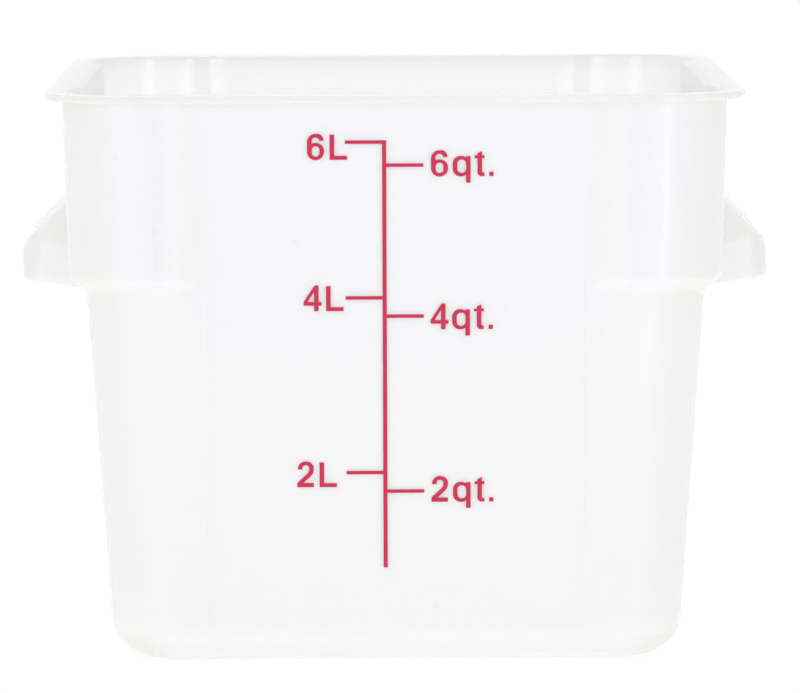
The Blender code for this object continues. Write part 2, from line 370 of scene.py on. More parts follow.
def hood_rings(side, inset, drop):
    """Level outlines of a hood: a trapezoid, rounded at its outer corners, that ends in the tub.

    The half width of an outline is the face's half width plus the way in from the face times the
    slant. inset makes the hollow, a wall smaller all round, and drop moves its open foot down.
    """
    root_out = body_half(LEDGE_LOW) - PANEL_RECESS
    slant = (GRIP_ROOT_WIDTH - GRIP_FACE_WIDTH) / 2 / (GRIP_REACH - root_out)
    face_half = GRIP_FACE_WIDTH / 2 - inset * math.hypot(1.0, slant)
    end_round = GRIP_END_ROUND - inset * math.tan(math.atan2(1.0, slant) / 2)
    foot = LEDGE_LOW - drop
    face = GRIP_REACH - inset
    knee = LEDGE_LOW + GRIP_FACE_HEIGHT - inset * math.tan((math.pi / 2 - GRIP_SLOPE) / 2)
    back = root_out - WALL - drop
    root = knee + (face - back) * math.tan(GRIP_SLOPE)
    path = np.array([[[back, foot], [face, foot], [face, knee], [back, root]]])
    foot_pieces = 0 if drop else ROUND_PIECES
    section = soften(path, [0.0, GRIP_FOOT_ROUND, GRIP_KNEE_SETBACK, 0.0],
                     [0, foot_pieces, KNEE_PIECES, 0])
    section = fill(section[:, 1:], HOOD_STEP)[0]
    out, level = section[:, 0], section[:, 1]
    deep = np.full_like(out, back - WALL)

    def corner(place, sign):
        half = face_half + (GRIP_REACH - place) * slant
        return np.stack([side * place, sign * half, level], axis=1)

    outline = np.stack([corner(deep, -1), corner(out, -1), corner(out, 1), corner(deep, 1)], axis=1)
    outline = soften(outline, [0.0, end_round, end_round, 0.0], [0, END_PIECES, END_PIECES, 0],
                     closed=True)
    return fill(outline, HOOD_STEP, closed=True)


# %% Join or cut


def cut(item, other, operation):
    """Joins or cuts an object with another one, and keeps the result as its mesh."""
    modifier = item.modifiers.new(operation, "BOOLEAN")
    modifier.operation = operation
    modifier.solver = "EXACT"
    modifier.object = other
    evaluated = item.evaluated_get(bpy.context.evaluated_depsgraph_get())
    result = bpy.data.meshes.new_from_object(evaluated)
    item.modifiers.clear()
    item.data = result


# %% Cut the hoods to the wall and join them
for side in (-1, 1):
    hood = closed_mesh("hood_form", hood_rings(side, 0.0, 0.0))
    pocket = closed_mesh("pocket_form", hood_rings(side, GRIP_WALL, CUT_RUN))
    cut(hood, core, "DIFFERENCE")
    cut(hood, pocket, "DIFFERENCE")
    cut(tub, hood, "UNION")
    bpy.data.objects.remove(pocket)
    bpy.data.objects.remove(hood)
bpy.data.objects.remove(core)
print("tub moulding:", len(tub.data.vertices), "vertices")

# %% Shade it smooth between its sharp edges
SHARP_FROM = math.radians(32.0)

tub.data.polygons.foreach_set("use_smooth", np.ones(len(tub.data.polygons), dtype=bool))
tub.data.set_sharp_from_angle(angle=SHARP_FROM)
print("edges over", round(math.degrees(SHARP_FROM)), "degrees stay sharp")

# %% [markdown]
# ## The printed scale
#
# The scale is one film of red ink. It could be painted on the panel with an image, but a thin mesh
# has crisp edges at any distance and its own gloss. Its comb is a flat outline: up the right side
# of the spine past the quart ticks, and down the left side past the litre ticks. It is drawn on the
# level and then laid on the panel, which leans out by the draft.

# %% Draw flat shapes and lay them on the panel
INK_GAP = 0.02 * MM
INK_THICKNESS = 0.05 * MM


def plate(name, outline, low, high):
    """A flat plate: the outline (points, 2) is repeated at the lower and at the upper level."""
    flat = np.asarray(outline, dtype=float)
    rings = np.stack([np.column_stack([flat, np.full(len(flat), level)]) for level in (low, high)])
    return closed_mesh(name, rings)


def lay_on_panel(mesh, left, base, size):
    """Moves a flat mesh onto the drafted front panel.

    A point (u, v, w) goes to x = left + u size and height = base + v size, onto the panel there,
    and then w and the ink's gap out along the panel's normal.
    """
    points = np.empty(len(mesh.vertices) * 3)
    mesh.vertices.foreach_get("co", points)
    across, up, out = points.reshape(-1, 3).T
    height = base + up * size
    panel = np.array([body_half(level) for level in (0.0, HEIGHT)]) - PANEL_RECESS
    lift = INK_GAP + out
    place = np.column_stack([
        left + across * size,
        -np.interp(height, (0.0, HEIGHT), panel) - lift * math.cos(BODY_DRAFT),
        height - lift * math.sin(BODY_DRAFT)])
    mesh.vertices.foreach_set("co", place.ravel())
    mesh.update()


# %% The comb
SPINE_OFFSET = 3.6 * MM
SPINE_HALF = 0.65 * MM
TICK_HALF = 0.55 * MM
TICK_END = SPINE_HALF + 11.8 * MM
SPINE_FOOT = 32.0 * MM
LITRE_MARKS = [share * HEIGHT for share in (0.341, 0.647, 0.917)]
QUART_MARKS = [share * HEIGHT for share in (0.308, 0.615, 0.877)]

comb_outline = [(SPINE_HALF, SPINE_FOOT)]
for mark in QUART_MARKS:
    comb_outline += [(SPINE_HALF, mark - TICK_HALF), (TICK_END, mark - TICK_HALF),
                     (TICK_END, mark + TICK_HALF), (SPINE_HALF, mark + TICK_HALF)]
comb_outline.append((SPINE_HALF, LITRE_MARKS[-1] + TICK_HALF))
for mark in reversed(LITRE_MARKS):
    comb_outline += [(-SPINE_HALF, mark + TICK_HALF), (-TICK_END, mark + TICK_HALF),
                     (-TICK_END, mark - TICK_HALF), (-SPINE_HALF, mark - TICK_HALF)]
comb_outline.append((-SPINE_HALF, SPINE_FOOT))
comb = plate("scale_comb", comb_outline, 0.0, INK_THICKNESS)
lay_on_panel(comb.data, -SPINE_OFFSET, 0.0, 1.0)
print("litre marks at", np.round(np.array(LITRE_MARKS) / MM, 1), "mm, quart marks at",
      np.round(np.array(QUART_MARKS) / MM, 1), "mm")

# %% [markdown]
# ## Numerals and unit letters
#
# The words of the scale are generic bold shapes. A font could draw them, but here each one is a
# closed outline on a grid in which a numeral is one unit high. Its corners are rounded by the same
# arcs as the tub, and the eye of a letter is cut out of it.

# %% The outlines of the numerals and letters
# Each glyph is a list of parts: what to do with it, its corners, and how far they are rounded.
NUMERAL_HEIGHT = 8.3 * MM
ARC_PIECES = 8
JOIN, CUT = "UNION", "DIFFERENCE"
SIX_BOWL = [(0.0, -0.01), (0.65, -0.01), (0.65, 0.65), (0.0, 0.65)]
SIX_HOOK = [(0.0, 0.30), (0.175, 0.30), (0.175, 0.86), (0.455, 0.86), (0.47, 0.725), (0.635, 0.74),
            (0.635, 1.0), (0.0, 1.0)]
SIX_EYE = [(0.18, 0.125), (0.475, 0.125), (0.475, 0.52), (0.18, 0.52)]
FOUR_BODY = [(0.40, 0.0), (0.575, 0.0), (0.575, 0.215), (0.69, 0.215), (0.69, 0.355),
             (0.575, 0.355), (0.575, 1.0), (0.425, 1.0), (0.0, 0.36), (0.0, 0.215), (0.40, 0.215)]
FOUR_EYE = [(0.15, 0.355), (0.40, 0.355), (0.40, 0.745)]
TWO_BODY = [(0.0, 0.0), (0.64, 0.0), (0.64, 0.165), (0.235, 0.165), (0.64, 0.54), (0.64, 1.01),
            (0.02, 1.01), (0.02, 0.70), (0.195, 0.685), (0.20, 0.865), (0.46, 0.865), (0.46, 0.60),
            (0.0, 0.17)]
ELL_BODY = [(0.0, 0.0), (0.67, 0.0), (0.67, 0.15), (0.175, 0.15), (0.175, 0.97), (0.0, 0.97)]
QU_BOWL = [(0.0, -0.01), (0.62, -0.01), (0.62, 0.78), (0.0, 0.78)]
QU_STEM = [(0.505, -0.25), (0.68, -0.25), (0.68, 0.765), (0.505, 0.765)]
QU_EYE = [(0.175, 0.125), (0.51, 0.125), (0.51, 0.64), (0.175, 0.64)]
TEE_BODY = [(0.385, 0.0), (0.375, 0.13), (0.285, 0.13), (0.285, 0.685), (0.38, 0.685), (0.38, 0.80),
            (0.285, 0.80), (0.285, 0.965), (0.11, 0.88), (0.11, 0.80), (0.0, 0.80), (0.0, 0.685),
            (0.11, 0.685), (0.11, -0.01)]
DOT_BODY = [(0.0, 0.0), (0.165, 0.0), (0.165, 0.165), (0.0, 0.165)]
GLYPHS = {
    "six": [(JOIN, SIX_BOWL, [0.31] * 4), (JOIN, SIX_HOOK, [0, 0, 0.15, 0.13, 0, 0, 0.29, 0.32]),
            (CUT, SIX_EYE, [0.147] * 4)],
    "four": [(JOIN, FOUR_BODY, None), (CUT, FOUR_EYE, None)],
    "two": [(JOIN, TWO_BODY, [0, 0, 0, 0.02, 0.18, 0.30, 0.30, 0, 0, 0.13, 0.13, 0.10, 0.05])],
    "ell": [(JOIN, ELL_BODY, None)],
    "qu": [(JOIN, QU_BOWL, [0.30] * 4), (JOIN, QU_STEM, None), (CUT, QU_EYE, [0.167] * 4)],
    "tee": [(JOIN, TEE_BODY, [0, 0, 0.06, 0, 0, 0, 0, 0, 0, 0, 0, 0, 0, 0.16])],
    "dot": [(JOIN, DOT_BODY, None)],
}
print("glyphs:", ", ".join(GLYPHS))

# %% Make a glyph


def glyph(parts):
    """A flat glyph: each part's outline is rounded and made a plate, then joined or cut."""
    result = None
    for action, corners, setbacks in parts:
        outline = np.array([corners])
        if setbacks:
            counts = [ARC_PIECES if setback else 0 for setback in setbacks]
            outline = soften(outline, setbacks, counts, closed=True)
        spare = INK_THICKNESS if action == CUT else 0.0
        part = plate("glyph_part", outline[0], -spare, INK_THICKNESS + spare)
        if result is None:
            result = part
        else:
            cut(result, part, action)
            bpy.data.objects.remove(part)
    return result


# %% Set the words
# A gap counts from the word's left end in heights of a numeral. A word's left end and base are in
# millimetres.
LITRE_GAPS = (0.0, 0.86)
QUART_GAPS = (0.0, 0.83, 1.665, 2.225)
LITRE_WORDS = {("six", "ell"): (-28.0, 164.05), ("four", "ell"): (-29.4, 115.5),
               ("two", "ell"): (-31.8, 58.4)}
QUART_WORDS = {("six", "qu", "tee", "dot"): (11.25, 158.65),
               ("four", "qu", "tee", "dot"): (11.0, 109.5),
               ("two", "qu", "tee", "dot"): (11.15, 53.45)}


def print_words(name, words, gaps):
    """Sets every glyph of the words on the panel, and joins them in one mesh."""
    shape = bmesh.new()
    for glyphs, (left, base) in words.items():
        for kind, gap in zip(glyphs, gaps):
            item = glyph(GLYPHS[kind])
            lay_on_panel(item.data, left * MM + gap * NUMERAL_HEIGHT, base * MM, NUMERAL_HEIGHT)
            shape.from_mesh(item.data)
            bpy.data.objects.remove(item)
    bmesh.ops.recalc_face_normals(shape, faces=shape.faces)
    mesh = bpy.data.meshes.new(name)
    shape.to_mesh(mesh)
    shape.free()
    item = bpy.data.objects.new(name, mesh)
    bpy.context.scene.collection.objects.link(item)
    print(name, len(mesh.vertices), "vertices")
    return item


litre_words = print_words("litre_words", LITRE_WORDS, LITRE_GAPS)
quart_words = print_words("quart_words", QUART_WORDS, QUART_GAPS)

# %% [markdown]
# ## Natural polypropylene
#
# Unpigmented polypropylene is milky: light enters it, scatters and leaves again a little way off,
# so a thin wall is almost white and shows no hard shadow, while thick and bent parts take a faint
# olive tone. Subsurface scattering in a Principled shader does the milkiness. Its tone, and how far
# light reaches in it, change with the depth of plastic behind each point. That depth could be
# measured with rays, but the moulding's sizes already say where it is thick. So each part of the
# tub gets a share between 0 and 1, worked out for all vertices at once from their places and
# normals, with smooth ramps in place of hard borders. Some shares also paint shade and light into
# the tone: darker upper panels, columns, corners and down-facing faces, and a lighter inside,
# slanted sides, foot band, flange top and grip ends.

# %% Read where each vertex is and where it looks


def read_mesh(values, field, count):
    """Reads three numbers of each vertex into three arrays."""
    buffer = np.empty(count * 3)
    values.foreach_get(field, buffer)
    return buffer.reshape(-1, 3).T


x, y, z = read_mesh(tub.data.vertices, "co", len(tub.data.vertices))
along_x, along_y, up = read_mesh(tub.data.vertex_normals, "vector", len(tub.data.vertices))
out = (along_x * x + along_y * y) / np.maximum(np.hypot(x, y), TINY)
far, near = np.maximum(abs(x), abs(y)), np.minimum(abs(x), abs(y))
grip_side = abs(x) > abs(y)
print(f"{np.mean(up > 0.5):.0%} of the normals look up and {np.mean(up < -0.5):.0%} down")

# %% Two kinds of ramp


def ramp(values, start, end):
    """0 before start, 1 after end, and 3 t^2 - 2 t^3 on the way t between them."""
    along = np.clip((values - start) / (end - start), 0.0, 1.0)
    return along * along * (3.0 - 2.0 * along)


def side_ramp(start, end):
    """A ramp along each side of the tub: start and end are shares of the way from its middle."""
    return ramp(near, start * far, end * far)


print("a ramp from 0 to 1:", np.round(ramp(np.linspace(0.0, 1.0, 5), 0.0, 1.0), 3))

# %% Shares of the inside and of the flange
# Heights are in metres. A turn is the part of a normal that points up, down or towards the axis.
INSIDE_TURN = (0.0, 0.5)
FLOOR_TURN = (0.5, 0.9)
LEVEL_TURN = (0.80, 0.98)
BAND_HEIGHTS = (RIM_UNDERSIDE - 0.4 * MM, RIM_UNDERSIDE + 0.2 * MM)

low_half = z < LEDGE_LOW / 2
inside_share = np.maximum(ramp(-out, *INSIDE_TURN), ramp(up, *FLOOR_TURN) * low_half)
outside_share = 1.0 - inside_share
flange_top = ramp(up, *LEVEL_TURN) * (z > RIM_UNDERSIDE)
band = ramp(z, *BAND_HEIGHTS) * (1.0 - ramp(up, *LEVEL_TURN))
print(f"inside: {inside_share.mean():.1%}, flange top: {flange_top.mean():.1%}, "
      f"edge band: {band.mean():.1%} of vertices")

# %% Shares of the grips
KNEE_HEIGHT = LEDGE_LOW + GRIP_FACE_HEIGHT
GRIP_TOP = RIM_UNDERSIDE - 10.0 * MM
STANDS_OUT = (0.1 * MM, 1.5 * MM)
ROOF_HEIGHTS = (KNEE_HEIGHT - 0.5 * MM, KNEE_HEIGHT + 4.0 * MM)
FACE_PLACES = (GRIP_REACH - 7.5 * MM, GRIP_REACH - 3.0 * MM)
ROOF_TURN, ROOF_TURN_LOSS = (0.3, 0.6), 0.6
END_FADE = 0.5


def shares_of_grip():
    """Three shares, each 1 on its own part of a grip: the roof above the knee, less where it looks
    up, the outermost few millimetres of the face, and the thin ends between them and the wall."""
    grip = ramp(abs(x) - shoulder_half(z), *STANDS_OUT) * (z < GRIP_TOP)
    roof = ramp(z, *ROOF_HEIGHTS)
    face = ramp(abs(x), *FACE_PLACES)
    end = 1.0 - ramp(np.maximum(roof, face), 0.0, END_FADE)
    return (grip * roof * (1.0 - face) * (1.0 - ROOF_TURN_LOSS * ramp(up, *ROOF_TURN)),
            grip * face, grip * end)


grip_roof, grip_face, grip_end = shares_of_grip()
print(f"grips: roof {grip_roof.mean():.1%}, face {grip_face.mean():.1%}, "
      f"ends {grip_end.mean():.1%}")

# %% Shares of the columns and the corners
# Ramps run between shares of the way from a side's middle to its corner, and SLANT_TURN between
# parts of a normal along a side. CORNER_INSIDE and CORNER_ON_BAND are the shares left there.
COLUMN_EDGE = (0.695, 0.715)
COLUMN_BEND, BEND_SHADE_EXTRA = (0.725, 0.78), 1.6
CORNER_START, GRIP_CORNER_START, CORNER_RUN = 0.78, 0.72, 0.17
CORNER_INSIDE, CORNER_ON_BAND = 0.25, 0.2
SLANT_TURN, SLANT_END = (0.12, 0.40), (0.70, 0.74)


def share_of_column_shade():
    """Share of painted shade: 1 on the faces of the shoulder columns, and more beside the bend to
    their slanted sides.
    """
    bend = 1.0 + BEND_SHADE_EXTRA - BEND_SHADE_EXTRA * side_ramp(*COLUMN_BEND)
    return side_ramp(*COLUMN_EDGE) * bend * ramp(z, LEDGE_LOW, LEDGE_TOP)


def share_of_corner():
    """0 before the rounding of a corner and 1 on its middle, starting earlier on the grip sides."""
    start = np.where(grip_side, GRIP_CORNER_START, CORNER_START)
    return side_ramp(start, start + CORNER_RUN)


def share_of_lit_slant():
    """1 where the normal is turned some 28 degrees along a side, as on the sides of the columns,
    which are painted lighter as painted light.
    """
    turned = np.minimum(abs(along_x), abs(along_y))
    return ramp(turned, *SLANT_TURN) * (1.0 - side_ramp(*SLANT_END))


column = share_of_column_shade() * outside_share
corner = (share_of_corner() * (1.0 - (1.0 - CORNER_INSIDE) * inside_share)
          * (1.0 - (1.0 - CORNER_ON_BAND) * band))
slant = share_of_lit_slant() * outside_share
print(f"columns {column.mean():.1%}, corners {corner.mean():.1%}, slants {slant.mean():.1%}")

# %% Shares of the panels, the ledges and the foot
PANEL_END = 0.69
HIGH_HEIGHTS = (50.0 * MM, 125.0 * MM)
UNDER_TURN = (0.15, 0.80)
FOOT_RISE, FOOT_FALL = (7.0 * MM, 11.0 * MM), (18.0 * MM, 28.0 * MM)

high = ramp(z, *HIGH_HEIGHTS)
panel = (near < PANEL_END * far) * high * outside_share * (z < RIM_UNDERSIDE)
under = ramp(-up, *UNDER_TURN)
ledge_shade = under * (z > LEDGE_LOW / 2)
foot = under * (z < FOOT_RADIUS)
# Painted light: a band just above the foot is made lighter.
painted_light_foot_band = ramp(z, *FOOT_RISE) * (1.0 - ramp(z, *FOOT_FALL)) * outside_share
print(f"panels {panel.mean():.1%}, ledges {ledge_shade.mean():.1%}, foot {foot.mean():.1%}")

# %% Shares of the thinnest lines and of the wall behind a grip
THIN_LINES = ((-0.8 * MM, 1.0 * MM), (STEP_HALF + 1.4 * MM, 1.5 * MM),
              (RIM_HALF - 25.8 * MM, 2.2 * MM))
LINE_CORE = 0.2 * MM
LINE_ON_GRIP_SIDE = 0.3
GRIP_WALL_HALF = STEP_HALF - 4.0 * MM


def share_of_thin_lines():
    """1 along the inner rounds of the steps and the corners, where the wall is thinnest.

    Each line has a place along the side, the first one counted from the inner crease, and a width
    over which it fades. It is weaker on the grip sides, where the hoods add plastic to the wall.
    """
    crease = step_crease(z) + WALL * math.tan(STEP_ANGLE / 2)
    (crease_shift, crease_width), *fixed = THIN_LINES
    lines = [1.0 - ramp(abs(near - place), LINE_CORE, width)
             for place, width in ((crease + crease_shift, crease_width), *fixed)]
    return (np.maximum.reduce(lines) * ramp(z, LEDGE_LOW, LEDGE_TOP)
            * np.where(grip_side, LINE_ON_GRIP_SIDE, 1.0))


thin = share_of_thin_lines() * inside_share
grip_wall = (abs(y) < GRIP_WALL_HALF) * grip_side * inside_share * (z > LEDGE_LOW / 2)
print(f"thin lines {thin.mean():.1%}, wall behind the grips {grip_wall.mean():.1%}")

# %% [markdown]
# ## Loss and reach of light
#
# Two things are painted on the vertices with these shares. The first is a colour: the part of red,
# green and blue light that is kept, where thick plastic loses blue first, which makes it olive. The
# same colour also holds painted shade and painted light, which make some parts darker or lighter.
# The reach is how far light spreads inside before it leaves. It is short outside, where small
# shadows stay crisp, and long inside, where light that entered elsewhere fills the shadows. An
# image could carry both, but attributes need no unwrapping, and the mesh is fine enough to hold
# them.

# %% Paint the loss of light
# Each row is a share and the red, green and blue that it takes away. A gain has the minus sign.
# The first rows are the olive of thick plastic, and the rest are painted shade and painted light.
LOSSES = (
    (band, (0.108, 0.112, 0.188)),
    (band * inside_share, (0.025, 0.020, 0.050)),
    (grip_roof, (0.006, 0.018, 0.165)),
    (grip_face, (0.055, 0.070, 0.170)),
    # Painted shade: the upper panels are a little darker and cooler.
    (panel, (0.026, 0.024, 0.002)),
    # Painted shade: the shoulder columns are darker, most of all beside their bends.
    (column, (0.018, 0.018, 0.014)),
    # The corners are partly olive, as thick plastic is, and partly darker, which is painted shade.
    (corner, (0.036, 0.040, 0.080)),
    (corner * high, (0.000, 0.000, 0.056)),
    # Painted shade: faces that look down, under the ledges, the flange and the hoods, and at the
    # foot.
    (ledge_shade, (0.022, 0.030, 0.065)),
    (foot, (0.088, 0.088, 0.098)),
    # Painted light: the slanted sides, a band above the foot, the flange's top and the thin grip
    # ends  are lighter.
    (slant, (-0.018, -0.018, -0.018)),
    (painted_light_foot_band, (-0.026, -0.028, -0.028)),
    (flange_top, (-0.030, -0.030, -0.045)),
    (grip_end, (-0.072, -0.060, 0.025)),
)

tint_and_painted_light = np.ones((len(z), 4))
for share, loss in LOSSES:
    tint_and_painted_light[:, :3] -= share[:, None] * np.array(loss)
print("mean share of light kept:", np.round(tint_and_painted_light[:, :3].mean(axis=0), 3))

# %% Paint the reach of light
# Each row is a share and the reach that it leads to. A later row covers the earlier ones.
OUTSIDE_REACH = 3.5 * MM
REACHES = (
    (inside_share, 46.0 * MM),
    (thin, 480.0 * MM),
    (grip_wall, 18.0 * MM),
    (band * inside_share, 14.0 * MM),
    (flange_top, 50.0 * MM),
    (grip_end, 1.5 * MM),
)

reach = np.full_like(z, OUTSIDE_REACH)
for share, target in REACHES:
    reach += share * (target - reach)
print(f"reach of light: {reach.min() / MM:.1f} to {reach.max() / MM:.0f} mm")

# %% Keep both on the mesh
BAND_LOOKS_OUTSIDE = 0.6

inside_look = inside_share * (1.0 - BAND_LOOKS_OUTSIDE * band)
for name, values in (("inside", inside_look), ("flange_top", flange_top), ("reach", reach)):
    tub.data.attributes.new(name, "FLOAT", "POINT").data.foreach_set("value", values)
tub.data.attributes.new("tint_and_painted_light", "FLOAT_COLOR", "POINT").data.foreach_set("color", tint_and_painted_light.ravel())
print("attributes:", [name for name in tub.data.attributes.keys() if name[0] != "."])

# %% [markdown]
# ## A few words for nodes
#
# A material is a tree of nodes. A node with its inputs and links takes three or four lines of
# Python, so one helper does all of it, and short words for the usual nodes follow: mix, calculate,
# spread, noise. After that a material reads like a recipe.

# %% Helpers for node trees


def grey(level):
    """A colour of one level."""
    return (level, level, level, 1.0)


def add_node(tree, kind, values=None, **settings):
    """Adds a node, sets its options and its unlinked inputs, and links inputs that are sockets."""
    item = tree.nodes.new(kind)
    for key, value in settings.items():
        setattr(item, key, value)
    for key, value in (values or {}).items():
        if isinstance(value, bpy.types.NodeSocket):
            tree.links.new(value, item.inputs[key])
        else:
            item.inputs[key].default_value = value
    return item


def new_material(name):
    """An empty node material, its tree, its output node and the place on the object."""
    material = bpy.data.materials.new(name)
    material.use_nodes = True
    tree = material.node_tree
    tree.nodes.clear()
    place = add_node(tree, "ShaderNodeTexCoord").outputs["Object"]
    return material, tree, tree.nodes.new("ShaderNodeOutputMaterial"), place


# %% Words for numbers


def calculate(tree, operation, one, other):
    """A sum, product, maximum or test of two numbers."""
    return add_node(tree, "ShaderNodeMath", {0: one, 1: other}, operation=operation).outputs[0]


def mix_numbers(tree, share, one, other):
    """one + share (other - one)."""
    return add_node(tree, "ShaderNodeMix", {"Factor": share, "A": one, "B": other}).outputs[0]


def spread(tree, value, start, end, low=0.0, high=1.0, kind="LINEAR"):
    """Maps start..end to low..high, evenly or, as SMOOTHSTEP, like the ramp above."""
    return add_node(tree, "ShaderNodeMapRange", {"Value": value, "From Min": start, "From Max": end,
                                                 "To Min": low, "To Max": high},
                    interpolation_type=kind).outputs[0]


def noise(tree, place, lumps, detail=2.0, roughness=0.5):
    """Fractal noise around 0.5, with so many lumps to the metre."""
    return add_node(tree, "ShaderNodeTexNoise", {"Vector": place, "Scale": lumps, "Detail": detail,
                                                 "Roughness": roughness}).outputs[0]


def attribute(tree, name):
    """Reads a value that was painted on the vertices: Fac for a number, Color for a colour."""
    return add_node(tree, "ShaderNodeAttribute", attribute_name=name).outputs


# %% Words for colours and surfaces


def mix_colours(tree, share, one, other, kind="MIX"):
    """Mixes two colours by a share, or, as MULTIPLY, multiplies the first by the second."""
    return add_node(tree, "ShaderNodeMix", {"Factor": share, "A": one, "B": other},
                    data_type="RGBA", blend_type=kind).outputs["Result"]


def relief(tree, height, strength, depth):
    """A bumped normal from a height between 0 and 1, for a relief of so many metres."""
    return add_node(tree, "ShaderNodeBump", {"Strength": strength, "Distance": depth,
                                             "Height": height}).outputs[0]


def mix_surfaces(tree, share, one, other):
    """Shows the first surface where the share is 0 and the second where it is 1."""
    return add_node(tree, "ShaderNodeMixShader", {0: share, 1: one, 2: other}).outputs[0]


def shine(tree, kind, tone, strength):
    """A surface or a world that gives light by itself."""
    return add_node(tree, kind, {"Color": tone, "Strength": strength}).outputs[0]


# %% [markdown]
# ## The plastic's cloudy tone
#
# The plastic isn't one grey. It is warmer near the base and cooler in the shoulder, in soft clouds
# a few centimetres wide. A gradient along the height gives the change, and slow noise breaks it up.
# The inside is painted lighter, which is painted light, and the colour painted on the vertices is
# multiplied on top.

# %% The tone of the plastic
COOL_TONE = (0.914, 0.916, 0.984, 1.0)
WARM_TONE = (0.928, 0.932, 0.921, 1.0)
PAINTED_LIGHT_TONE = (0.986, 0.986, 1.000, 1.0)
COOL_FROM, COOL_TO, COOL_AT_BASE = 50.0 * MM, 125.0 * MM, 0.15
CLOUD_LUMPS, CLOUD_DETAIL, CLOUD_LOW, CLOUD_HIGH = 16.0, 4.0, 0.80, 1.15
NOISE_RANGE = (0.35, 0.65)

plastic, tree, output, place = new_material("natural_polypropylene")
level = add_node(tree, "ShaderNodeSeparateXYZ", {0: place}).outputs["Z"]
clouds = spread(tree, noise(tree, place, CLOUD_LUMPS, CLOUD_DETAIL), *NOISE_RANGE,
                CLOUD_LOW, CLOUD_HIGH)
cool = calculate(tree, "MULTIPLY", spread(tree, level, COOL_FROM, COOL_TO, COOL_AT_BASE, 1.0),
                 clouds)
inside_mask = attribute(tree, "inside")["Fac"]
# Painted light: the inside gets a lighter tone than the outside.
tone = mix_colours(tree, inside_mask, mix_colours(tree, cool, WARM_TONE, COOL_TONE), PAINTED_LIGHT_TONE)
tone = mix_colours(tree, 1.0, tone, attribute(tree, "tint_and_painted_light")["Color"], "MULTIPLY")
print("the tone takes", len(tree.nodes), "nodes")

# %% [markdown]
# ## Specks and sparkle
#
# Moulded polypropylene has a few darker specks, a millimetre or two across, and the flat top of the
# flange has a grain that sparkles. Specks could be placed one by one, but Voronoi cells give them
# for nothing: the distance to a cell's point draws a dot, and the cell's random colour says which
# few cells have one. The sparkle is fine noise that only the flange's top shows.

# %% Specks in the plastic
SPECK_TONE = (0.965, 0.965, 0.968, 1.0)
SPECK_CELLS = 90.0
SPECK_RADIUS = 1.6 * MM
SPECK_CORE = 0.4
SPECK_CHANCE = 0.14

cells = add_node(tree, "ShaderNodeTexVoronoi", {"Vector": place, "Scale": SPECK_CELLS}).outputs
speck_edge = SPECK_RADIUS * SPECK_CELLS
cell_draw = add_node(tree, "ShaderNodeSeparateColor", {0: cells["Color"]}).outputs[0]
speck = calculate(tree, "MULTIPLY",
                  spread(tree, cells["Distance"], speck_edge, SPECK_CORE * speck_edge),
                  calculate(tree, "LESS_THAN", cell_draw, SPECK_CHANCE))
tone = mix_colours(tree, speck, tone, mix_colours(tree, 1.0, tone, SPECK_TONE, "MULTIPLY"))
print(f"specks: cells of {1.0 / SPECK_CELLS / MM:.0f} mm, a dot in {SPECK_CHANCE:.0%} of them")

# %% The sparkle of the flange's top
SPARKLE_LUMPS, SPARKLE_DETAIL, SPARKLE_ROUGHNESS = 700.0, 3.0, 0.7
SPARKLE_LOW, SPARKLE_HIGH = 0.95, 1.06
SPARKLE_SHARE = 0.8

top_mask = attribute(tree, "flange_top")["Fac"]
sparkle = noise(tree, place, SPARKLE_LUMPS, SPARKLE_DETAIL, SPARKLE_ROUGHNESS)
sparkle = spread(tree, sparkle, *NOISE_RANGE, SPARKLE_LOW, SPARKLE_HIGH)
tone = mix_colours(tree, calculate(tree, "MULTIPLY", top_mask, SPARKLE_SHARE), tone,
                   mix_colours(tree, 1.0, tone, sparkle, "MULTIPLY"))
print(f"sparkle: lumps of {1.0 / SPARKLE_LUMPS / MM:.1f} mm")

# %% [markdown]
# ## The skin of the plastic
#
# The mould leaves a satin skin with a slight peel, like that of an orange, and a fine grain. The
# outside is glossier than the scuffed inside and the grained top of the flange. Noise moves the
# gloss a little, and the same noise is a shallow bump, so relief and gloss agree.

# %% The skin
PEEL_LUMPS, PEEL_DETAIL = 120.0, 3.0
GRAIN_LUMPS, GRAIN_DETAIL, GRAIN_ROUGHNESS = 900.0, 2.0, 0.6
WIDE_RANGE = (0.3, 0.7)
PLASTIC_IOR = 1.49
OUTSIDE_ROUGHNESS = (0.19, 0.25)
INSIDE_ROUGHNESS = 0.42
TOP_ROUGHNESS = 0.40
GRAIN_SHARE = 0.25
SKIN_STRENGTH, SKIN_DEPTH = 0.35, 0.05 * MM

peel = noise(tree, place, PEEL_LUMPS, PEEL_DETAIL)
grain = noise(tree, place, GRAIN_LUMPS, GRAIN_DETAIL, GRAIN_ROUGHNESS)
roughness = spread(tree, peel, *WIDE_RANGE, *OUTSIDE_ROUGHNESS)
roughness = mix_numbers(tree, inside_mask, roughness, INSIDE_ROUGHNESS)
roughness = mix_numbers(tree, top_mask, roughness, TOP_ROUGHNESS)
skin_relief = relief(tree, mix_numbers(tree, GRAIN_SHARE, peel, grain), SKIN_STRENGTH, SKIN_DEPTH)
skin = add_node(tree, "ShaderNodeBsdfPrincipled", {
    "Base Color": tone, "Roughness": roughness, "IOR": PLASTIC_IOR, "Normal": skin_relief,
    "Subsurface Weight": 1.0, "Subsurface Scale": attribute(tree, "reach")["Fac"],
    "Subsurface Radius": (1.0, 1.0, 1.0)})
tree.links.new(skin.outputs[0], output.inputs["Surface"])
print(plastic.name, "has", len(tree.nodes), "nodes")

# %% [markdown]
# ## The ink
#
# Screen-printed ink lies on the plastic as a thin satin film. It is a little thicker in some places
# than in others, so its red is slightly uneven, and its surface shows the mesh it was pressed
# through only as a faint grain.

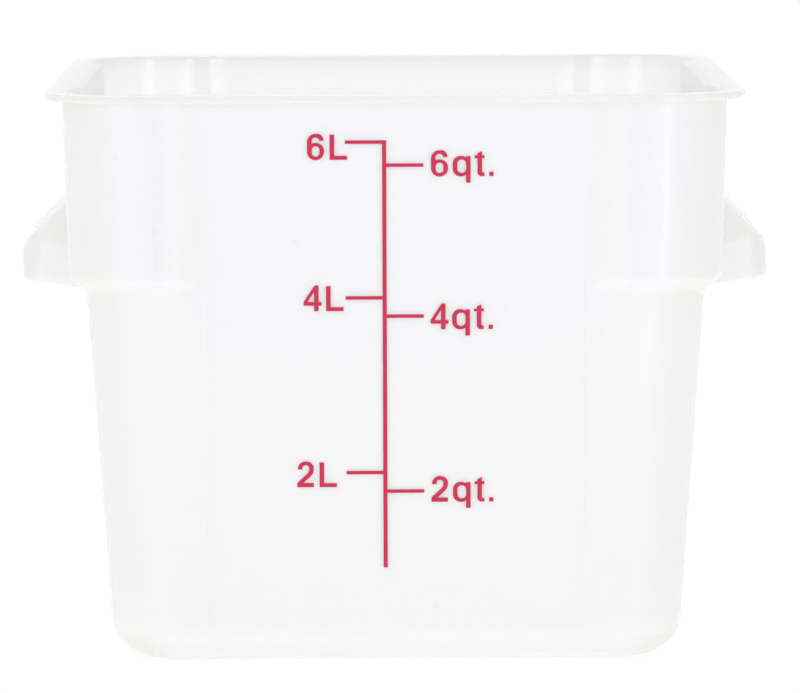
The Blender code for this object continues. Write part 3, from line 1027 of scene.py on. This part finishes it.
# %% The ink's material
INK_DEEP = (0.600, 0.008, 0.060, 1.0)
INK_THIN = (0.690, 0.026, 0.095, 1.0)
COVER_LUMPS, COVER_DETAIL, COVER_ROUGHNESS = 260.0, 4.0, 0.6
INK_ROUGHNESS, INK_IOR = (0.40, 0.55), 1.42
SCREEN_LUMPS = 1800.0
SCREEN_STRENGTH, SCREEN_DEPTH = 0.3, 0.02 * MM

ink, tree, output, place = new_material("red_printing_ink")
cover = noise(tree, place, COVER_LUMPS, COVER_DETAIL, COVER_ROUGHNESS)
film = add_node(tree, "ShaderNodeBsdfPrincipled", {
    "Base Color": mix_colours(tree, cover, INK_DEEP, INK_THIN),
    "Roughness": spread(tree, cover, *WIDE_RANGE, *INK_ROUGHNESS), "IOR": INK_IOR,
    "Normal": relief(tree, noise(tree, place, SCREEN_LUMPS), SCREEN_STRENGTH, SCREEN_DEPTH)})
tree.links.new(film.outputs[0], output.inputs["Surface"])
print(ink.name, "has", len(tree.nodes), "nodes")

# %% [markdown]
# ## The pieces in the frame
#
# Every piece is tied to the body of the model that it rides on. The tub and the comb replace the
# two CAD nodes, whose meshes stay hidden in the frame. Nothing on this object moves, so all pieces
# ride on its one body.

# %% Put the materials on and tie the pieces to the frame
for item, material, slot in ((tub, plastic, "polypropylene"), (comb, ink, "red_ink"),
                             (litre_words, ink, "red_ink"), (quart_words, ink, "red_ink")):
    item.data.materials.clear()
    item.data.materials.append(material)
    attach(item, "root")
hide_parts("container_tub")
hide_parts("graduation_scale")
print("pieces:", tub.name, comb.name, litre_words.name, quart_words.name)

# %% [markdown]
# ## Camera
#
# The camera was fitted to the outline of the tub in the photograph: a long lens, about 1.8 metres
# away, a little above the rim, and turned by less than half a degree. Its three directions are
# worked out from a yaw, a pitch and a roll in radians, and become the columns of its matrix.

# %% Place the camera
CAMERA_EYE = (-9.73 * MM, -1758.56 * MM, 294.61 * MM)
CAMERA_YAW, CAMERA_PITCH, CAMERA_ROLL = 0.0066, -0.1143, -0.0039
FOCAL_PIXELS, PICTURE_WIDTH, SENSOR_WIDTH = 5242.3, 800.0, 36.0
FARTHEST_SEEN = 50.0

forward = Vector((math.sin(CAMERA_YAW) * math.cos(CAMERA_PITCH),
                  math.cos(CAMERA_YAW) * math.cos(CAMERA_PITCH), math.sin(CAMERA_PITCH)))
right = forward.cross(Vector((0.0, 0.0, 1.0))).normalized()
upward = right.cross(forward)
right, upward = (right * math.cos(CAMERA_ROLL) + upward * math.sin(CAMERA_ROLL),
                 upward * math.cos(CAMERA_ROLL) - right * math.sin(CAMERA_ROLL))
turn = Matrix((right, upward, -forward)).transposed()
lens = bpy.data.cameras.new("camera")
lens.sensor_width = SENSOR_WIDTH
lens.lens = FOCAL_PIXELS * SENSOR_WIDTH / PICTURE_WIDTH
lens.clip_end = FARTHEST_SEEN
camera = bpy.data.objects.new("camera", lens)
camera.matrix_world = Matrix.Translation(CAMERA_EYE) @ turn.to_4x4()
bpy.context.scene.collection.objects.link(camera)
bpy.context.scene.camera = camera
print(f"lens {lens.lens:.1f} mm, {Vector(CAMERA_EYE).length:.2f} m from the middle of the base")

# %% [markdown]
# ## The white floor
#
# The tub was photographed on white, so the floor and the world look white to the camera, and to
# rays that were mirrored or passed through the plastic. A strong lamp could burn the floor white,
# but the tub too. Light Path tells the rays apart instead: those rays see white with a share of the
# floor's true shade, which keeps the tub's shadow, and all others meet pale paper that also glows.

# %% The floor's sheet
FLOOR_HALF = 8.0
FLOOR_Z = -0.1 * MM

floor_corners = [(east * FLOOR_HALF, north * FLOOR_HALF, FLOOR_Z)
                 for east, north in ((-1, -1), (1, -1), (1, 1), (-1, 1))]
floor_mesh = bpy.data.meshes.new("floor")
floor_mesh.from_pydata(floor_corners, [], [(0, 1, 2, 3)])
studio_floor = bpy.data.objects.new("floor", floor_mesh)
bpy.context.scene.collection.objects.link(studio_floor)
print(f"floor {2 * FLOOR_HALF:.0f} m wide, {-FLOOR_Z / MM:.1f} mm under the tub")

# %% The floor's paper
SHADOW_SHARE = 0.25
FLOOR_GLOW = 1.375
BACKGROUND_GLOW = 1.1
PAPER_SHARE = 0.5
WHITE, PAPER_LIGHT, PAPER_DARK = grey(1.0), grey(0.90), grey(0.86)
FIBRE_LUMPS = 300.0


def white_rays(tree):
    """1 for rays that come straight, mirrored or through plastic from the camera, 0 for others."""
    rays = add_node(tree, "ShaderNodeLightPath").outputs
    mirrored = calculate(tree, "MAXIMUM", rays["Is Camera Ray"], rays["Is Glossy Ray"])
    return calculate(tree, "MAXIMUM", mirrored, rays["Is Transmission Ray"])


paper, tree, output, place = new_material("floor_paper")
fibre = mix_colours(tree, noise(tree, place, FIBRE_LUMPS), PAPER_DARK, PAPER_LIGHT)
matte = add_node(tree, "ShaderNodeBsdfDiffuse", {"Color": fibre}).outputs[0]
table = mix_surfaces(tree, PAPER_SHARE, shine(tree, "ShaderNodeEmission", WHITE, FLOOR_GLOW), matte)
background = mix_surfaces(tree, SHADOW_SHARE,
                          shine(tree, "ShaderNodeEmission", WHITE, BACKGROUND_GLOW), matte)
seen = mix_surfaces(tree, white_rays(tree), table, background)
tree.links.new(seen, output.inputs["Surface"])
floor_mesh.materials.append(paper)
print(paper.name, "has", len(tree.nodes), "nodes")

# %% [markdown]
# ## The room and the lamps
#
# Most light comes from the room itself, which is lighter behind and above, and darker on the right.
# One large soft lamp stands to the right of the camera and a weaker one to its left. Two narrow
# strips near the tub only draw the lines of gloss on its bends: their diffuse light is turned off,
# so they don't change its shading.

# %% The room
FRONT_LIGHT = grey(0.70)
BACK_LIGHT = grey(1.00)
LEFT_LIGHT = grey(0.70)
RIGHT_LIGHT = grey(0.53)
TOP_LIGHT = grey(1.07)
# Each row is an axis, where on it the room starts and ends to change, and the tone it changes to.
ROOM_SIDES = (("Y", -0.3, 0.3, BACK_LIGHT), ("X", -0.45, -0.9, LEFT_LIGHT),
              ("X", 0.45, 0.9, RIGHT_LIGHT), ("Z", 0.55, 0.95, TOP_LIGHT))

world = bpy.data.worlds.new("studio")
world.use_nodes = True
bpy.context.scene.world = world
tree = world.node_tree
tree.nodes.clear()
output = tree.nodes.new("ShaderNodeOutputWorld")
direction = add_node(tree, "ShaderNodeTexCoord").outputs["Generated"]
look = add_node(tree, "ShaderNodeSeparateXYZ", {0: direction}).outputs
room_tone = FRONT_LIGHT
for axis, start, end, light in ROOM_SIDES:
    share = spread(tree, look[axis], start, end, kind="SMOOTHSTEP")
    room_tone = mix_colours(tree, share, room_tone, light)
seen = mix_surfaces(tree, white_rays(tree), shine(tree, "ShaderNodeBackground", room_tone, 1.0),
                    shine(tree, "ShaderNodeBackground", WHITE, 1.0))
tree.links.new(seen, output.inputs["Surface"])
print("the room has", len(ROOM_SIDES) + 1, "tones")

# %% Three kinds of lamp
AIM = Vector((0.0, 0.0, 0.09))
LAMP_ELEVATION, LAMP_DISTANCE, LAMP_HEIGHT = math.radians(14.0), 2.3, 1.1
STRIP_Y, STRIP_WIDTH, STRIP_HEIGHT = -0.41, 0.024, 0.20


def lamp_at(name, spot, width, height, power):
    """A flat lamp at a spot, which looks at the tub."""
    data = bpy.data.lights.new(name, "AREA")
    data.shape = "RECTANGLE"
    data.size, data.size_y = width, height
    data.energy = power
    item = bpy.data.objects.new(name, data)
    turned = (spot - AIM).to_track_quat("Z", "Y").to_matrix().to_4x4()
    item.matrix_world = Matrix.Translation(spot) @ turned
    bpy.context.scene.collection.objects.link(item)
    print(f"{name}: {(spot - AIM).length:.2f} m away, {power} W")
    return item


def soft_lamp(name, azimuth, width, power):
    """A large lamp, whose azimuth is counted from the camera's side to the right.

    Its spot is the aim plus the distance times (cos e sin a, -cos e cos a, sin e).
    """
    ground = LAMP_DISTANCE * math.cos(LAMP_ELEVATION)
    way = Vector((ground * math.sin(azimuth), -ground * math.cos(azimuth),
                  LAMP_DISTANCE * math.sin(LAMP_ELEVATION)))
    lamp_at(name, AIM + way, width, LAMP_HEIGHT, power)


def gloss_strip(name, place_x, power):
    """A narrow upright strip near the tub. It draws lines of gloss and gives no other light."""
    spot = Vector((place_x, STRIP_Y, STRIP_HEIGHT / 2))
    item = lamp_at(name, spot, STRIP_WIDTH, STRIP_HEIGHT, power)
    item.visible_diffuse = item.visible_transmission = item.visible_volume_scatter = False


# %% Place the lamps
# A large lamp has an azimuth, a width and a power, and a strip has a place along x and a power.
LARGE_LAMPS = (("key_lamp", math.radians(11.0), 0.45, 3.3),
               ("fill_lamp", math.radians(-11.0), 0.2, 0.6))
STRIPS = (("right_strip", 0.17, 0.055), ("left_strip", -0.22, 0.014))

for lamp in LARGE_LAMPS:
    soft_lamp(*lamp)
for strip in STRIPS:
    gloss_strip(*strip)
bpy.context.scene.view_settings.view_transform = "Standard"
